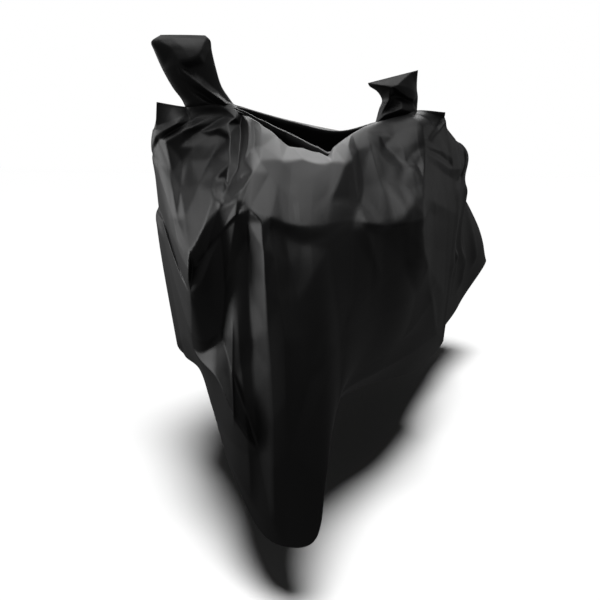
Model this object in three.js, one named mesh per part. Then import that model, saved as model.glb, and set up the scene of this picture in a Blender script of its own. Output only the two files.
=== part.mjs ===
// Motorcycle cover: thin coated cloth as it hangs over a parked machine that is steered to its left.
// Units are millimetres, +Z up, -Y the front, +Y the tail, +X the rider's left. The origin lies under the
// top, where the saddle carries the cloth.
//
// The sheet is a grid. "Across" runs round the cover: 0 at the right grip, 2 at the left grip, 3 where the
// seam over the back starts, 4 to 6 round the tail, 7 at the seam again and 8 at the right grip again.
// "Down" runs from 0 on the ridge line to 1 at the hem.
import * as THREE from 'three';

// Driving dimensions
const CLOTH = 2.4;                 // thickness of the cloth
const TURN = 34 * Math.PI / 180;   // how far the handlebar is steered to the left
const SEAM_GAP = 0.9;              // clearance between the two side panels along the centre seam
const POCKET_INSET = 2.2;          // how far a pocket's wall stands inside the line of its opening
const POCKET_ROOT = 4;             // how deep a pocket reaches through its opening
const ORIGIN = new THREE.Vector3(0, 800, 814);   // saddle point, measured from the ground under the bar
const SEAM_AT = 0.82;              // place of the front centre seam, across
const ROWS = 25;                   // grid rows from ridge to hem
const ROW_EASE = 1.15;             // above 1, rows lie closer together near the ridge
const STEPS = { frontRight: 20, frontLeft: 26, back: 23, tail: 18 };   // grid columns of each stretch
const FOLD_FADE = 0.22;            // share of a fold's length over which each end runs out
const RIDGE_CALM = 0.03;           // folds run out this far down from the ridge
const RIM_CALM = 2.0;              // folds run out within this many opening sizes of a pocket's middle
const REACH = 3;                   // a fold is felt up to this many widths away
const REACH_ACROSS = 0.35;         // and no further than this beyond its route, across

// The ridge over the handlebar, from the right grip to the left, in the handlebar's own directions
const BAR_RIDGE = [
  { across: -385, up: 1060 },
  { across: -315, up: 1046 },
  { across: -190, up: 1058 },
  { across: -145, up: 1045 },
  { across: -40, up: 1018 },
  { across: 90, up: 995 },
  { across: 180, up: 1020 },
  { across: 300, up: 1050 },
  { across: 385, up: 1045 },
];

// The ridge behind the handlebar: tank, saddle, tail
const BACK_RIDGE = [
  { back: 280, up: 935 },
  { back: 550, up: 850 },
  { back: 800, up: 815 },
  { back: 1050, up: 850 },
  { back: 1240, up: 868 },
];

// Sections round the front, in the handlebar's directions: [across, forward, up] on each ring
const FRONT_SECTIONS = [
  { at: 0.00, lip: [-390, 5, 985], bulge: [-385, 10, 850],
    waist: [-372, 13, 700], hem: [-338, 34, 430] },
  { at: 0.14, lip: [-330, 50, 990], bulge: [-345, 175, 790],
    waist: [-330, 200, 610], hem: [-325, 185, 440] },
  { at: 0.30, lip: [-245, 50, 1015], bulge: [-300, 275, 800],
    waist: [-305, 335, 590], hem: [-322, 340, 400] },
  { at: 0.48, lip: [-180, 85, 1005], bulge: [-262, 368, 835],
    waist: [-286, 444, 573], hem: [-304, 470, 300] },
  { at: 0.64, lip: [-130, 118, 990], bulge: [-222, 421, 822],
    waist: [-245, 498, 545], hem: [-267, 543, 208] },
  { at: 0.82, lip: [-90, 147, 962], bulge: [-172, 455, 812],
    waist: [-196, 543, 551], hem: [-220, 600, 190] },
  { at: 1.00, lip: [-30, 165, 948], bulge: [-112, 453, 812],
    waist: [-132, 545, 570], hem: [-172, 634, 222] },
  { at: 1.20, lip: [36, 141, 972], bulge: [-30, 413, 815],
    waist: [-62, 488, 585], hem: [-149, 609, 350] },
  { at: 1.42, lip: [108, 100, 990], bulge: [65, 336, 797],
    waist: [37, 371, 578], hem: [-100, 508, 435] },
  { at: 1.64, lip: [199, 74, 1005], bulge: [175, 222, 794],
    waist: [162, 240, 566], hem: [50, 333, 416] },
  { at: 1.84, lip: [291, 69, 1014], bulge: [280, 117, 820],
    waist: [292, 91, 580], hem: [244, 139, 372] },
  { at: 2.00, lip: [390, 0, 985], bulge: [412, -19, 799],
    waist: [408, -39, 552], hem: [392, -42, 356] },
];

// Sections along the sides and round the tail, in the machine's directions: [left, back, up] on each ring
const SIDE_SECTIONS = [
  { at: 2.50, lip: [332, 400, 975], bulge: [350, 420, 840],
    waist: [330, 420, 600], hem: [292, 450, 354] },
  { at: 3.00, lip: [270, 600, 930], bulge: [315, 620, 820],
    waist: [310, 620, 600], hem: [288, 660, 352] },
  { at: 3.45, lip: [200, 850, 895], bulge: [270, 870, 800],
    waist: [305, 880, 600], hem: [298, 900, 358] },
  { at: 3.80, lip: [190, 1080, 890], bulge: [260, 1100, 800],
    waist: [310, 1120, 620], hem: [315, 1130, 390] },
  { at: 4.00, lip: [160, 1250, 875], bulge: [240, 1280, 800],
    waist: [320, 1320, 640], hem: [360, 1360, 460] },
  { at: 4.50, lip: [100, 1340, 868], bulge: [170, 1400, 790],
    waist: [240, 1470, 640], hem: [280, 1520, 450] },
  { at: 5.00, lip: [0, 1370, 862], bulge: [0, 1450, 780],
    waist: [0, 1530, 620], hem: [0, 1580, 420] },
  { at: 5.50, lip: [-100, 1340, 868], bulge: [-170, 1400, 790],
    waist: [-240, 1470, 640], hem: [-280, 1520, 440] },
  { at: 6.00, lip: [-160, 1250, 875], bulge: [-240, 1280, 800],
    waist: [-320, 1320, 640], hem: [-350, 1360, 430] },
  { at: 6.20, lip: [-190, 1080, 890], bulge: [-260, 1100, 800],
    waist: [-310, 1120, 620], hem: [-325, 1130, 390] },
  { at: 6.60, lip: [-220, 800, 900], bulge: [-285, 800, 790],
    waist: [-322, 800, 600], hem: [-325, 800, 370] },
  { at: 7.00, lip: [-265, 450, 930], bulge: [-315, 450, 800],
    waist: [-325, 450, 600], hem: [-310, 450, 370] },
  { at: 7.50, lip: [-300, 100, 985], bulge: [-330, 100, 830],
    waist: [-330, 100, 620], hem: [-315, 100, 400] },
];
const ROUND = 8;                              // "across" comes back to its start here
const RING_DOWN = [0, 0.15, 0.36, 0.62, 1];   // how far down the ridge and the four rings lie

// Folds: the height outwards, the width to each side, the lean, which makes the flank on one side steeper,
// and the route in pairs of [across, down]
const FOLDS = [
  { name: 'recess', height: -105, width: 40, lean: 0,
    route: [[0.50, 0.05], [0.66, 0.065], [0.90, 0.075], [1.15, 0.075], [1.40, 0.06]] },
  { name: 'strap', height: 50, width: 24, lean: 0,
    route: [[0.50, 0.035], [0.62, 0.075], [0.85, 0.095], [1.10, 0.15]] },
  { name: 'right lever', height: 24, width: 25, lean: 0.4,
    route: [[0.03, 0.16], [0.10, 0.12], [0.21, 0.06], [0.36, 0.03]] },
  { name: 'under the lever', height: -20, width: 23, lean: 0,
    route: [[0.05, 0.21], [0.12, 0.165], [0.22, 0.11], [0.36, 0.07]] },
  { name: 'second ridge', height: 16, width: 22, lean: 0.3,
    route: [[0.15, 0.18], [0.23, 0.15], [0.37, 0.08]] },
  { name: 'under the second', height: -16, width: 23, lean: 0,
    route: [[0.16, 0.235], [0.25, 0.195], [0.38, 0.12]] },
  { name: 'inner loop', height: 14, width: 22, lean: 0,
    route: [[0.46, 0.08], [0.38, 0.17], [0.37, 0.20], [0.40, 0.28]] },
  { name: 'outer loop', height: 18, width: 23, lean: 0,
    route: [[0.31, 0.22], [0.27, 0.25], [0.29, 0.30], [0.38, 0.33], [0.47, 0.33], [0.58, 0.26]] },
  { name: 'loop hollow', height: -16, width: 24, lean: 0,
    route: [[0.32, 0.235], [0.33, 0.285], [0.43, 0.305], [0.52, 0.265]] },
  { name: 'lip fold', height: 12, width: 22, lean: 0,
    route: [[0.57, 0.10], [0.57, 0.16], [0.59, 0.22], [0.58, 0.26]] },
  { name: 'node crease', height: 8, width: 22, lean: 0,
    route: [[0.60, 0.27], [0.72, 0.30], [0.82, 0.32]] },
  { name: 'low facet', height: 24, width: 32, lean: 0,
    route: [[0.03, 0.50], [0.14, 0.45], [0.26, 0.36]] },
  { name: 'low valley', height: -16, width: 28, lean: 0,
    route: [[0.12, 0.53], [0.24, 0.42], [0.33, 0.37]] },
  { name: 'main fall', height: 18, width: 25, lean: 0,
    route: [[0.64, 0.37], [0.66, 0.46], [0.69, 0.60], [0.71, 0.67], [0.72, 0.80]] },
  { name: 'right of the fall', height: -10, width: 29, lean: 0,
    route: [[0.71, 0.40], [0.74, 0.52], [0.78, 0.66], [0.80, 0.80]] },
  { name: 'left of the fall', height: -12, width: 25, lean: 0,
    route: [[0.585, 0.40], [0.60, 0.52], [0.62, 0.66], [0.65, 0.85]] },
  { name: 'side fall', height: 10, width: 25, lean: 0,
    route: [[0.54, 0.38], [0.53, 0.50], [0.50, 0.66], [0.48, 0.85]] },
  { name: 'hanging hollow', height: -14, width: 36, lean: 0,
    route: [[0.20, 0.50], [0.25, 0.68], [0.28, 0.85]] },
  { name: 'hanging ridge', height: 10, width: 36, lean: 0,
    route: [[0.30, 0.42], [0.33, 0.60], [0.36, 0.75]] },
  { name: 'slant valley', height: -10, width: 28, lean: 0,
    route: [[0.76, 0.45], [0.88, 0.56], [1.01, 0.62]] },
  { name: 'pouch', height: 30, width: 45, lean: 0,
    route: [[1.20, 0.335], [1.32, 0.345], [1.46, 0.35], [1.61, 0.335], [1.74, 0.31]] },
  { name: 'pouch tuck', height: -16, width: 29, lean: 0,
    route: [[1.20, 0.39], [1.32, 0.41], [1.46, 0.415], [1.61, 0.40], [1.76, 0.37]] },
  { name: 'dimple', height: -28, width: 27, lean: 0,
    route: [[1.31, 0.24], [1.28, 0.28], [1.26, 0.32]] },
  { name: 'slant ridge', height: 16, width: 22, lean: 0.3,
    route: [[1.53, 0.18], [1.55, 0.22], [1.62, 0.25], [1.70, 0.27], [1.79, 0.28]] },
  { name: 'over the ridge', height: -18, width: 22, lean: 0,
    route: [[1.58, 0.18], [1.63, 0.22], [1.71, 0.245], [1.78, 0.25]] },
  { name: 'lever edge', height: 30, width: 25, lean: -0.4,
    route: [[1.83, 0.15], [1.83, 0.25], [1.82, 0.34], [1.80, 0.44], [1.81, 0.48], [1.86, 0.54]] },
  { name: 'edge fall inner', height: 14, width: 25, lean: 0,
    route: [[1.86, 0.54], [1.76, 0.61], [1.72, 0.83]] },
  { name: 'edge fall outer', height: 12, width: 24, lean: 0,
    route: [[1.88, 0.57], [1.97, 0.86]] },
  { name: 'edge fall back', height: 14, width: 24, lean: 0,
    route: [[1.88, 0.55], [2.00, 0.63], [2.11, 0.70]] },
  { name: 'grip valley', height: -26, width: 23, lean: 0,
    route: [[1.99, 0.04], [1.93, 0.10], [1.84, 0.20]] },
  { name: 'side crease', height: 12, width: 22, lean: 0,
    route: [[1.83, 0.22], [1.94, 0.21], [2.11, 0.23]] },
  { name: 'side valley', height: -14, width: 22, lean: 0,
    route: [[1.86, 0.26], [1.95, 0.25], [2.10, 0.27]] },
  { name: 'drag fold', height: 15, width: 24, lean: 0,
    route: [[1.82, 0.35], [1.97, 0.37], [2.17, 0.41], [2.60, 0.46]] },
  { name: 'drag valley', height: -15, width: 25, lean: 0,
    route: [[1.85, 0.39], [1.97, 0.41], [2.20, 0.46], [2.60, 0.52]] },
  { name: 'left drag long', height: 20, width: 36, lean: 0.3,
    route: [[2.05, 0.18], [2.60, 0.34], [3.10, 0.52], [3.50, 0.76]] },
  { name: 'left drag low', height: 16, width: 32, lean: 0,
    route: [[2.20, 0.50], [2.60, 0.66], [3.00, 0.84]] },
  { name: 'left saddle sag', height: -26, width: 60, lean: 0,
    route: [[3.10, 0.20], [3.45, 0.25], [3.75, 0.22]] },
  { name: 'left fall a', height: 16, width: 36, lean: 0,
    route: [[3.35, 0.34], [3.40, 0.60], [3.46, 0.90]] },
  { name: 'left fall b', height: 20, width: 38, lean: 0,
    route: [[3.75, 0.30], [3.82, 0.58], [3.88, 0.90]] },
  { name: 'tail fall a', height: 18, width: 38, lean: 0,
    route: [[4.30, 0.25], [4.32, 0.60], [4.36, 0.94]] },
  { name: 'tail fall b', height: -18, width: 38, lean: 0,
    route: [[4.80, 0.30], [4.84, 0.60], [4.86, 0.94]] },
  { name: 'tail fall c', height: 20, width: 38, lean: 0,
    route: [[5.35, 0.25], [5.30, 0.60], [5.28, 0.94]] },
  { name: 'tail fall d', height: -16, width: 36, lean: 0,
    route: [[5.80, 0.30], [5.78, 0.60], [5.80, 0.94]] },
  { name: 'right fall a', height: 18, width: 38, lean: 0,
    route: [[6.16, 0.30], [6.14, 0.58], [6.10, 0.90]] },
  { name: 'right saddle sag', height: -26, width: 60, lean: 0,
    route: [[6.25, 0.20], [6.55, 0.25], [6.90, 0.22]] },
  { name: 'right fall b', height: 16, width: 36, lean: 0,
    route: [[6.52, 0.32], [6.50, 0.60], [6.46, 0.92]] },
  { name: 'right drag long', height: 20, width: 38, lean: -0.3,
    route: [[7.90, 0.16], [7.50, 0.30], [7.00, 0.50], [6.70, 0.80]] },
  { name: 'right drag low', height: 16, width: 36, lean: 0,
    route: [[7.95, 0.44], [7.60, 0.62], [7.20, 0.86]] },
];

// Mirror pockets: a flat sleeve from the opening it is sewn into up to its closed top. Each level has its
// left and right edge as [across, up], and how far it stands out to the front and to the back
const POCKETS = {
  right: {
    opening: { from: -315, to: -192, front: 34, back: 12 },
    levels: [
      { left: [-325, 1072], right: [-208, 1078], front: 30, back: 18 },
      { left: [-346, 1100], right: [-226, 1106], front: 27, back: 22 },
      { left: [-368, 1140], right: [-238, 1146], front: 24, back: 22 },
      { left: [-386, 1182], right: [-247, 1186], front: 20, back: 18 },
      { left: [-392, 1203], right: [-250, 1210], front: 13, back: 9 },
      { left: [-370, 1219], right: [-262, 1222], front: 7, back: 3 },
    ],
  },
  left: {
    opening: { from: 183, to: 300, front: 30, back: 9 },
    levels: [
      { left: [193, 1056], right: [301, 1068], front: 27, back: 15 },
      { left: [201, 1078], right: [302, 1088], front: 23, back: 18 },
      { left: [188, 1099], right: [299, 1108], front: 21, back: 17 },
      { left: [166, 1112], right: [299, 1130], front: 17, back: 11 },
      { left: [160, 1121], right: [301, 1157], front: 9, back: 1 },
    ],
  },
};

// A place given in the handlebar's own directions
function barPoint(across, forward, up) {
  const along = Math.cos(TURN);
  const aside = Math.sin(TURN);
  return new THREE.Vector3(across * along + forward * aside, across * aside - forward * along, up);
}

// Smooth curve through points at rising knots: a cubic whose slope at each knot weighs both neighbours
function smoothCurve(knots, points, t) {
  const last = knots.length - 1;
  let k = 0;
  while (k < last - 1 && t >= knots[k + 1]) k += 1;
  const step = (i) => knots[i + 1] - knots[i];
  const rise = (i) => points[i + 1].clone().sub(points[i]).divideScalar(step(i));
  const slope = (i) => {
    if (i === 0) return rise(0);
    if (i === last) return rise(last - 1);
    const weighed = rise(i - 1).multiplyScalar(step(i)).addScaledVector(rise(i), step(i - 1));
    return weighed.divideScalar(step(i - 1) + step(i));
  };
  const h = step(k);
  const x = (t - knots[k]) / h;
  return new THREE.Vector3()
    .addScaledVector(points[k], 2 * x ** 3 - 3 * x ** 2 + 1)
    .addScaledVector(slope(k), h * (x ** 3 - 2 * x ** 2 + x))
    .addScaledVector(points[k + 1], 3 * x ** 2 - 2 * x ** 3)
    .addScaledVector(slope(k + 1), h * (x ** 3 - x ** 2));
}

// The ridge line
const BAR_KNOTS = BAR_RIDGE.map((row) => row.across);
const BAR_POINTS = BAR_RIDGE.map((row) => new THREE.Vector3(row.across, 0, row.up));
const BAR_REACH = BAR_KNOTS[BAR_KNOTS.length - 1];

function barRidge(at, side) {
  const across = BAR_REACH * (at - 1);
  const point = smoothCurve(BAR_KNOTS, BAR_POINTS, across);
  let spread = 0;
  for (const { opening } of Object.values(POCKETS)) {
    const share = (2 * across - opening.from - opening.to) / (opening.to - opening.from);
    const depth = side > 0 ? opening.front : opening.back;
    if (Math.abs(share) < 1) spread = depth * Math.sqrt(1 - share * share);
  }
  return barPoint(across, side * spread, point.z);
}

const BACK_POINTS = [
  barRidge(SEAM_AT, 0),
  ...BACK_RIDGE.map((row) => new THREE.Vector3(0, row.back, row.up)),
];
const BACK_KNOTS = BACK_POINTS.map((point) => point.y);

function backRidge(share) {
  const back = THREE.MathUtils.lerp(BACK_KNOTS[0], BACK_KNOTS.at(-1), share);
  return smoothCurve(BACK_KNOTS, BACK_POINTS, back);
}

function ridgePoint(at) {
  if (at <= 2) return barRidge(at, 1);
  if (at < 3) return barRidge(2 - (at - 2) * (2 - SEAM_AT), -1);
  if (at <= 4) return backRidge(at - 3);
  if (at < 6) return backRidge(1);
  if (at <= 7) return backRidge(7 - at);
  return barRidge((ROUND - at) * SEAM_AT, -1);
}

// The sheet before its folds
const SECTIONS = [
  ...FRONT_SECTIONS.map((row) => ({ at: row.at, ring: (name) => barPoint(...row[name]) })),
  ...SIDE_SECTIONS.map((row) => ({ at: row.at, ring: (name) => new THREE.Vector3(...row[name]) })),
];
const TURNS = [-ROUND, 0, ROUND];
const SECTION_KNOTS = TURNS.flatMap((turn) => SECTIONS.map((section) => section.at + turn));
const RINGS = ['lip', 'bulge', 'waist', 'hem'].map((name) => {
  const points = SECTIONS.map((section) => section.ring(name));
  return TURNS.flatMap(() => points);
});

function column(at) {
  return [ridgePoint(at), ...RINGS.map((points) => smoothCurve(SECTION_KNOTS, points, at))];
}

function sheetPoint(at, down) {
  return smoothCurve(RING_DOWN, column(at), down);
}

// The grid: its columns, and the vertex that each crossing of column and row uses
const FRONT_STEPS = STEPS.frontRight + STEPS.frontLeft;

function stretch(from, to, steps) {
  return Array.from({ length: steps }, (_, i) => THREE.MathUtils.lerp(from, to, (i + 1) / steps));
}

const COLUMN_AT = [
  0,
  ...stretch(0, SEAM_AT, STEPS.frontRight),
  ...stretch(SEAM_AT, 2, STEPS.frontLeft),
  ...stretch(2, 3, STEPS.frontLeft),
  ...stretch(3, 4, STEPS.back),
  ...stretch(4, 6, STEPS.tail),
  ...stretch(6, 7, STEPS.back),
  ...stretch(7, ROUND, STEPS.frontRight).slice(0, -1),
];
const SEAM_FRONT = STEPS.frontRight;
const SEAM_TAIL = FRONT_STEPS + STEPS.frontLeft + STEPS.back + STEPS.tail / 2;
const DOWN = Array.from({ length: ROWS + 1 }, (_, j) => (j / ROWS) ** ROW_EASE);

const vertices = [];
const vertexAt = [];
const vertexDown = [];
const MERGE = 0.01;                // ridge points this close are one vertex

function knownRidgeVertex(point) {
  return vertices.findIndex((other, v) => vertexDown[v] === 0 && other.distanceTo(point) < MERGE);
}

const grid = COLUMN_AT.map((at) => {
  const knots = column(at);
  return DOWN.map((down, j) => {
    const point = smoothCurve(RING_DOWN, knots, down);
    const known = j === 0 ? knownRidgeVertex(point) : -1;
    if (known >= 0) return known;
    vertices.push(point);
    vertexAt.push(at);
    vertexDown.push(down);
    return vertices.length - 1;
  });
});

function stripFaces(c) {
  const here = grid[c];
  const next = grid[(c + 1) % grid.length];
  const faces = [];
  for (let j = 0; j < ROWS; j += 1) {
    const [a, b, d, e] = [here[j], here[j + 1], next[j + 1], next[j]];
    const across = vertices[a].distanceTo(vertices[d]) <= vertices[b].distanceTo(vertices[e]);
    faces.push(...(across ? [[a, b, d], [a, d, e]] : [[a, b, e], [b, d, e]]));
  }
  return faces.filter(([a, b, d]) => a !== b && b !== d && d !== a);
}

function vertexNormals() {
  const normals = vertices.map(() => new THREE.Vector3());
  for (let c = 0; c < grid.length; c += 1) {
    for (const face of stripFaces(c)) {
      const [a, b, d] = face.map((v) => vertices[v]);
      const normal = b.clone().sub(a).cross(d.clone().sub(a));
      for (const v of face) normals[v].add(normal);
    }
  }
  return normals.map((normal) => normal.normalize());
}

// Folds move each vertex along the sheet's normal by height * exp(-(distance / width) squared), where the
// distance is to the fold's route on the sheet
function foldRoute(route) {
  const lengths = [0];
  for (let i = 1; i < route.length; i += 1) {
    lengths.push(lengths[i - 1] + Math.hypot(route[i][0] - route[i - 1][0], route[i][1] - route[i - 1][1]));
  }
  const knots = lengths.map((length) => length / lengths.at(-1));
  const places = route.map(([at, down]) => new THREE.Vector3(at, down, 0));
  const samples = 4 * route.length;
  return Array.from({ length: samples + 1 }, (_, i) => {
    const place = smoothCurve(knots, places, i / samples);
    return sheetPoint((place.x + ROUND) % ROUND, Math.max(0, place.y));
  });
}

function calm(v) {
  let share = THREE.MathUtils.smoothstep(vertexDown[v], 0, RIDGE_CALM);
  for (const { opening } of Object.values(POCKETS)) {
    const half = (opening.to - opening.from) / 2;
    const middle = smoothCurve(BAR_KNOTS, BAR_POINTS, opening.from + half);
    const offset = vertices[v].clone().sub(barPoint(middle.x, 0, middle.z));
    const across = offset.dot(barPoint(1, 0, 0)) / half;
    const forward = offset.dot(barPoint(0, 1, 0)) / opening.front;
    share *= THREE.MathUtils.smoothstep(Math.hypot(across, forward, offset.z / half), 1, RIM_CALM);
  }
  return share;
}

function foldHeights(normals) {
  const heights = vertices.map(() => 0);
  for (const { route, height, width, lean } of FOLDS) {
    const points = foldRoute(route);
    const places = route.map(([at]) => at);
    const middle = (Math.min(...places) + Math.max(...places)) / 2;
    const half = Math.max(...places) - middle + REACH_ACROSS;
    vertices.forEach((vertex, v) => {
      const aside = Math.abs(vertexAt[v] - middle);
      if (Math.min(aside, ROUND - aside) > half) return;
      let best = { distance: Infinity };
      for (let i = 0; i < points.length - 1; i += 1) {
        const along = points[i + 1].clone().sub(points[i]);
        const offset = vertex.clone().sub(points[i]);
        const share = THREE.MathUtils.clamp(offset.dot(along) / along.lengthSq(), 0, 1);
        offset.addScaledVector(along, -share);
        const distance = offset.length();
        if (distance < best.distance) best = { distance, run: i + share, along, offset };
      }
      if (best.distance > REACH * width) return;
      const run = best.run / (points.length - 1);
      const ends = THREE.MathUtils.smoothstep(Math.min(run, 1 - run), 0, FOLD_FADE);
      const side = Math.sign(best.along.cross(best.offset).dot(normals[v]));
      const flank = width * (1 - 0.6 * side * lean);
      heights[v] += height * ends * Math.exp(-((best.distance / flank) ** 2));
    });
  }
  return heights.map((height, v) => height * calm(v));
}

const baseNormals = vertexNormals();
foldHeights(baseNormals).forEach((height, v) => vertices[v].addScaledVector(baseNormals[v], height));
const normals = vertexNormals();

// A panel is the sheet between two grid columns, drawn back from the centre seam, with its own thickness
const seam = [
  ...[...grid[SEAM_FRONT]].reverse(),
  ...Array.from({ length: STEPS.back }, (_, s) => grid[FRONT_STEPS + STEPS.frontLeft + 1 + s][0]),
  ...grid[SEAM_TAIL].slice(1),
];

function seamPulls(side) {
  const pulls = new Map();
  seam.forEach((v, i) => {
    const before = vertices[seam[Math.max(i - 1, 0)]];
    const after = vertices[seam[Math.min(i + 1, seam.length - 1)]];
    const away = after.clone().sub(before).cross(normals[v]).normalize();
    pulls.set(v, away.multiplyScalar(side * SEAM_GAP / 2));
  });
  return pulls;
}

function bodyFromFaces(faces, outer, inner) {
  const positions = [];
  const triangle = (a, b, d) => positions.push(...a.toArray(), ...b.toArray(), ...d.toArray());
  const edges = new Map();
  for (const [a, b, d] of faces) {
    triangle(outer(a), outer(b), outer(d));
    triangle(inner(a), inner(d), inner(b));
    for (const [from, to] of [[a, b], [b, d], [d, a]]) edges.set(`${from} ${to}`, [from, to]);
  }
  for (const [from, to] of edges.values()) {
    if (edges.has(`${to} ${from}`)) continue;
    triangle(outer(to), outer(from), inner(from));
    triangle(outer(to), inner(from), inner(to));
  }
  const geometry = new THREE.BufferGeometry();
  geometry.setAttribute('position', new THREE.Float32BufferAttribute(positions, 3));
  geometry.translate(-ORIGIN.x, -ORIGIN.y, -ORIGIN.z);
  geometry.computeVertexNormals();
  return geometry;
}

function panelGeometry(columns, side) {
  const pulls = seamPulls(side);
  const layer = (offset) => (v) => {
    const point = vertices[v].clone().addScaledVector(normals[v], offset);
    return pulls.has(v) ? point.add(pulls.get(v)) : point;
  };
  return bodyFromFaces(columns.flatMap((c) => stripFaces(c)), layer(CLOTH / 2), layer(-CLOTH / 2));
}

// A mirror pocket's lowest ring follows the rim of its opening from the inside
function pocketGeometry({ opening, levels }) {
  const middle = (opening.from + opening.to) / 2;
  const half = (opening.to - opening.from) / 2;
  const across = COLUMN_AT.filter((at) => at <= 2).map((at) => BAR_REACH * (at - 1));
  const open = across.filter((a) => a > opening.from && a < opening.to);
  const turns = [Math.PI, ...open.map((a) => Math.PI + Math.acos((middle - a) / half)), 2 * Math.PI,
    ...[...open].reverse().map((a) => Math.acos((a - middle) / half))];
  const heightAt = (a) => smoothCurve(BAR_KNOTS, BAR_POINTS, a).z;
  const root = (lift) => ({
    left: [opening.from + POCKET_INSET, heightAt(opening.from) + lift],
    right: [opening.to - POCKET_INSET, heightAt(opening.to) + lift],
    front: opening.front - POCKET_INSET,
    back: opening.back - POCKET_INSET,
  });
  const outerLevels = [root(-POCKET_ROOT), root(POCKET_ROOT), ...levels];
  const ringPoint = (level, turn, inset, drop) => {
    const share = (1 + Math.cos(turn)) / 2;
    const width = level.right[0] - level.left[0];
    const a = THREE.MathUtils.lerp(level.left[0] + inset, level.right[0] - inset, share);
    const up = THREE.MathUtils.lerp(level.left[1], level.right[1], (a - level.left[0]) / width) - drop;
    const depth = turn > Math.PI ? level.front : level.back;
    return barPoint(a, -Math.sin(turn) * (depth - inset), up);
  };
  const sheets = { outer: [], inner: [] };
  outerLevels.forEach((level, l) => {
    const top = l === outerLevels.length - 1;
    for (const turn of turns) {
      sheets.outer.push(ringPoint(level, turn, 0, 0));
      sheets.inner.push(ringPoint(level, turn, CLOTH, top ? CLOTH : 0));
    }
  });
  const count = turns.length;
  const topStart = count * (outerLevels.length - 1);
  for (const sheet of Object.values(sheets)) {
    const centre = new THREE.Vector3();
    for (let k = 0; k < count; k += 1) centre.addScaledVector(sheet[topStart + k], 1 / count);
    sheet.push(centre);
  }
  const faces = [];
  for (let k = 0; k < count; k += 1) {
    const next = (k + 1) % count;
    for (let start = 0; start < topStart; start += count) {
      faces.push([start + k, start + next, start + count + next]);
      faces.push([start + k, start + count + next, start + count + k]);
    }
    faces.push([topStart + k, topStart + next, topStart + count]);
  }
  return bodyFromFaces(faces, (v) => sheets.outer[v], (v) => sheets.inner[v]);
}

// The four pieces
const part = new THREE.Group();
const coatedCloth = { color: 0x0d0d0e, roughness: 0.42, metalness: 0 };

function addPiece(name, geometry) {
  const mesh = new THREE.Mesh(geometry, new THREE.MeshStandardMaterial(coatedCloth));
  mesh.name = name;
  part.add(mesh);
}

const allColumns = COLUMN_AT.map((_, c) => c);
const leftColumns = allColumns.slice(SEAM_FRONT, SEAM_TAIL);
const rightColumns = [...allColumns.slice(SEAM_TAIL), ...allColumns.slice(0, SEAM_FRONT)];
addPiece('side_panel_left', panelGeometry(leftColumns, 1));
addPiece('side_panel_right', panelGeometry(rightColumns, -1));
addPiece('mirror_pocket_right', pocketGeometry(POCKETS.right));
addPiece('mirror_pocket_left', pocketGeometry(POCKETS.left));

export default part;
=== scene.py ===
import math

import bpy
import numpy as np
from mathutils.geometry import delaunay_2d_cdt
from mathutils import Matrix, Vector


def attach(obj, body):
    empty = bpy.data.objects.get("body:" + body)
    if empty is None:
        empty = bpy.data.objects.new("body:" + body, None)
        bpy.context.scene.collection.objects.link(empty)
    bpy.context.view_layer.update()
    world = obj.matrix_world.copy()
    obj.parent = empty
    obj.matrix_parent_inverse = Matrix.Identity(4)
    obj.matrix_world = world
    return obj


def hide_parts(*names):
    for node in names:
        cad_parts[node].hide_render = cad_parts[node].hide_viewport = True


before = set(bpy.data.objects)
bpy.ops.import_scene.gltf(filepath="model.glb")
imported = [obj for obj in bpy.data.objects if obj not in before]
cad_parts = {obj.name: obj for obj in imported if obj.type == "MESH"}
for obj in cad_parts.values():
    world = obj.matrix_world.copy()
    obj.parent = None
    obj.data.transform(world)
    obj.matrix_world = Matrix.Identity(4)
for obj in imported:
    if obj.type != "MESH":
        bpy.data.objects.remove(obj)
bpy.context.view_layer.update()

# Side panels
# The cover is two big panels of black coated polyester, a right and a left one, sewn together along one
# centre seam: up the tongue, over the front hump, along the top and down the tail. They hang loose, with the
# hump turned to the left, and the edge is turned in and stitched as a hem.
#
# Places on the sheet are (across, down). Across is 0 at the hump's right end, 2 at its left end, 3 to 4 along
# the left side, 4 to 6 round the tail, 6 to 7 along the right side and 8 at the right end again. Down runs
# from 0 on the ridge line to 1 at the hem. Tables are in millimetres, from the ground below the hump.
MM = 0.001
ORIGIN = np.array([0.0, 800.0, 814.0])
TURN = math.radians(34)
ROUND = 8
SEAM_FRONT = 0.82
SEAM_TAIL = 5.0

# The ridge line along the hump: across, up
HUMP_RIDGE = np.array([
    (-385, 1064), (-315, 1054), (-190, 1060), (-145, 1048), (-40, 1022),
    (90, 1000), (180, 1022), (300, 1054), (385, 1050),
], float)
# The ridge line behind it: back, up
BACK_RIDGE = np.array([(280, 935), (550, 850), (800, 815), (1050, 850), (1240, 868)], float)

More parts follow.
